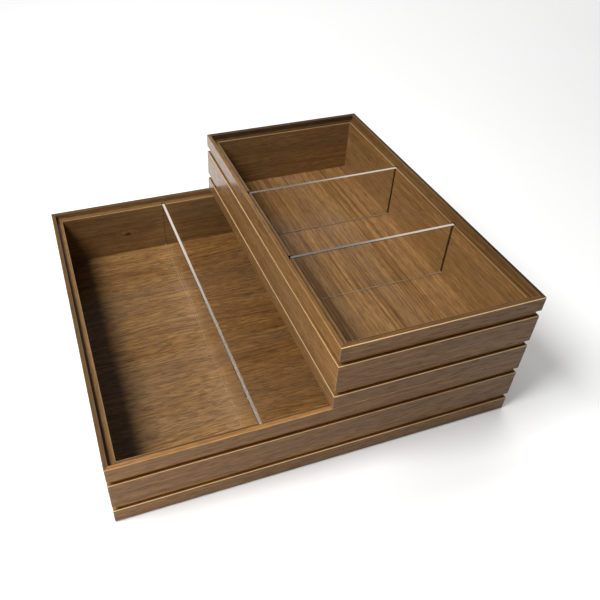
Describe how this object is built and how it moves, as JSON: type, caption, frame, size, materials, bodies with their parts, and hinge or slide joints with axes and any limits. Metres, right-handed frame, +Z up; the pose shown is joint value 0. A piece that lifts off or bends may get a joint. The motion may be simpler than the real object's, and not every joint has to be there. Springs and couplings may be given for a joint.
{
  "type": "stackable desk tray set",
  "caption": "Half-width wooden tray stacked on one side of a full-width tray, with clear dividers that lift out of slots to part the compartments.",
  "frame": {"origin": "centre of the footprint, on the surface that the pads stand on", "axes": "+Z up, +X right, towards the side that carries the upper tray, -Y towards the front"},
  "size_m": [0.32, 0.31, 0.121],
  "materials": {
    "stained_oak": "satin lacquered, dark stained solid oak",
    "oak_veneer": "satin lacquered, dark stained oak veneer",
    "plywood": "raw thin plywood",
    "clear_acrylic": "clear cast acrylic with polished edges",
    "pad_rubber": "matte thin rubber"
  },
  "bodies": {
    "lower_tray": {"lower_front_wall": "stained_oak", "lower_back_wall": "stained_oak", "lower_left_wall": "stained_oak", "lower_right_wall": "stained_oak", "lower_floor_panel": "oak_veneer", "lower_corner_splines": "plywood", "non_slip_pads": "pad_rubber"},
    "upper_tray": {"upper_front_wall": "stained_oak", "upper_back_wall": "stained_oak", "upper_left_wall": "stained_oak", "upper_right_wall": "stained_oak", "upper_floor_panel": "oak_veneer", "upper_corner_splines": "plywood", "locating_strip_front": "stained_oak", "locating_strip_back": "stained_oak", "locating_strip_left": "stained_oak", "locating_strip_right": "stained_oak"},
    "lower_divider": {"lower_divider": "clear_acrylic"},
    "upper_front_divider": {"upper_front_divider": "clear_acrylic"},
    "upper_back_divider": {"upper_back_divider": "clear_acrylic"}
  },
  "joints": [
    {"name": "upper_tray_lift", "type": "slide", "parent": "lower_tray", "child": "upper_tray", "axis": [0, 0, 1], "range_m": [0, 0.08]},
    {"name": "lower_divider_lift", "type": "slide", "parent": "lower_tray", "child": "lower_divider", "axis": [0, 0, 1], "range_m": [0, 0.06]},
    {"name": "upper_front_divider_lift", "type": "slide", "parent": "upper_tray", "child": "upper_front_divider", "axis": [0, 0, 1], "range_m": [0, 0.06]},
    {"name": "upper_back_divider_lift", "type": "slide", "parent": "upper_tray", "child": "upper_back_divider", "axis": [0, 0, 1], "range_m": [0, 0.06]}
  ]
}
